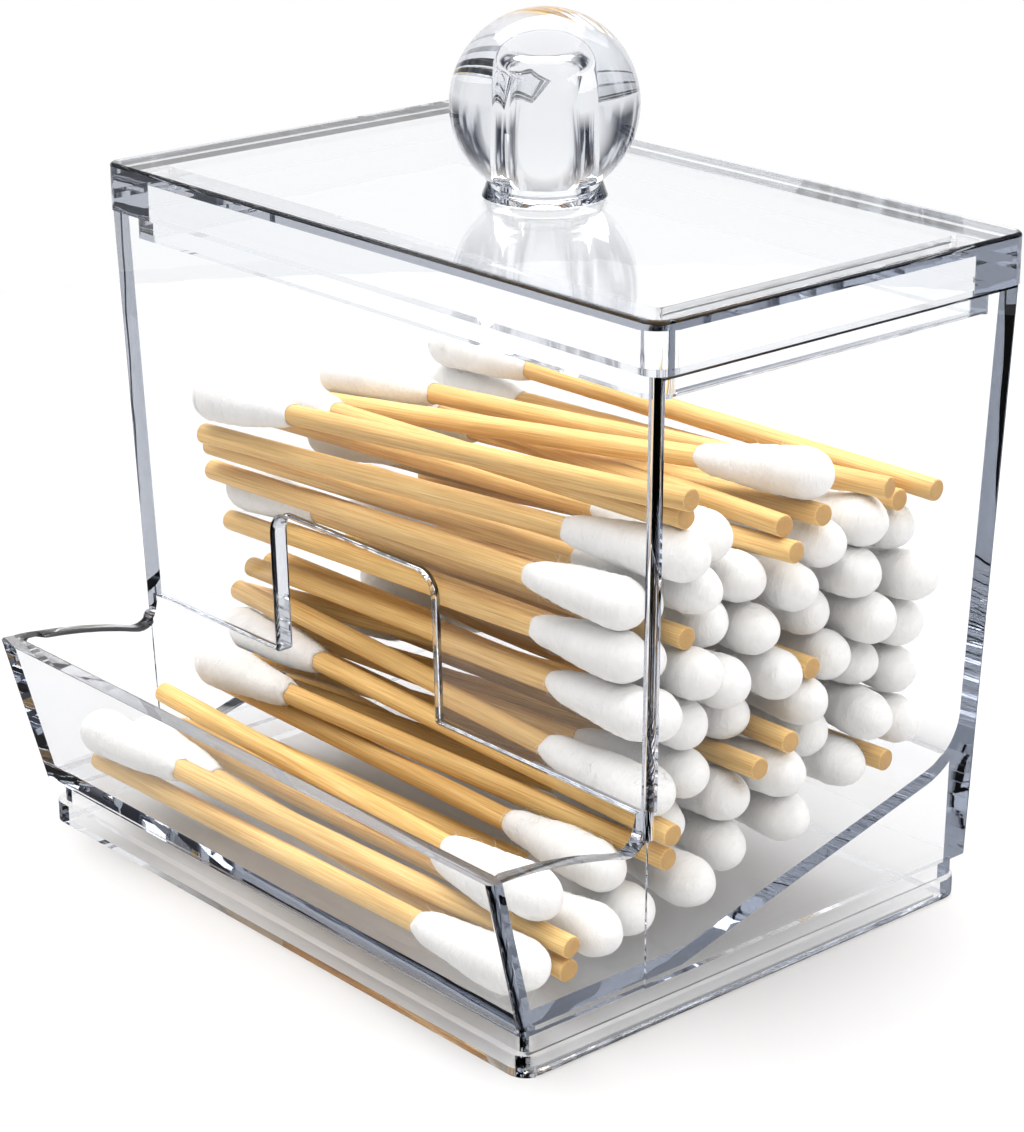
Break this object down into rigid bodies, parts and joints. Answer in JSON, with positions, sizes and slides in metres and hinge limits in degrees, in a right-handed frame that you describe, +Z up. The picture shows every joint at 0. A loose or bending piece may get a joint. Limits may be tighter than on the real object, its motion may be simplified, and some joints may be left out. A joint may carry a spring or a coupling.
{
  "type": "cotton swab holder",
  "caption": "Clear plastic cotton swab holder: a lidded box with a ball knob, a ramp that feeds a low front tray, filled with wooden single-tip swabs.",
  "frame": {"origin": "middle of the footprint at table level", "axes": "+Z up, -Y toward the front tray, +X to the right when the tray faces the viewer"},
  "size_m": [0.0896, 0.0706, 0.0944],
  "materials": {
    "clear_plastic": "clear, polished",
    "bamboo": "bare, smooth",
    "cotton": "soft wound cotton wool"
  },
  "bodies": {
    "box": {"body": "clear_plastic", "tray_sticks": "bamboo", "tray_tips": "cotton", "pile1_sticks": "bamboo", "pile1_tips": "cotton", "pile2_sticks": "bamboo", "pile2_tips": "cotton", "pile3_sticks": "bamboo", "pile3_tips": "cotton", "pile4_sticks": "bamboo", "pile4_tips": "cotton", "pile5_sticks": "bamboo", "pile5_tips": "cotton", "pile6_sticks": "bamboo", "pile6_tips": "cotton"},
    "lid": {"lid": "clear_plastic", "knob": "clear_plastic"}
  },
  "joints": [
    {"name": "lid_lift", "type": "slide", "parent": "box", "child": "lid", "axis": [0, 0, 1], "range_m": [0, 0.05]}
  ]
}
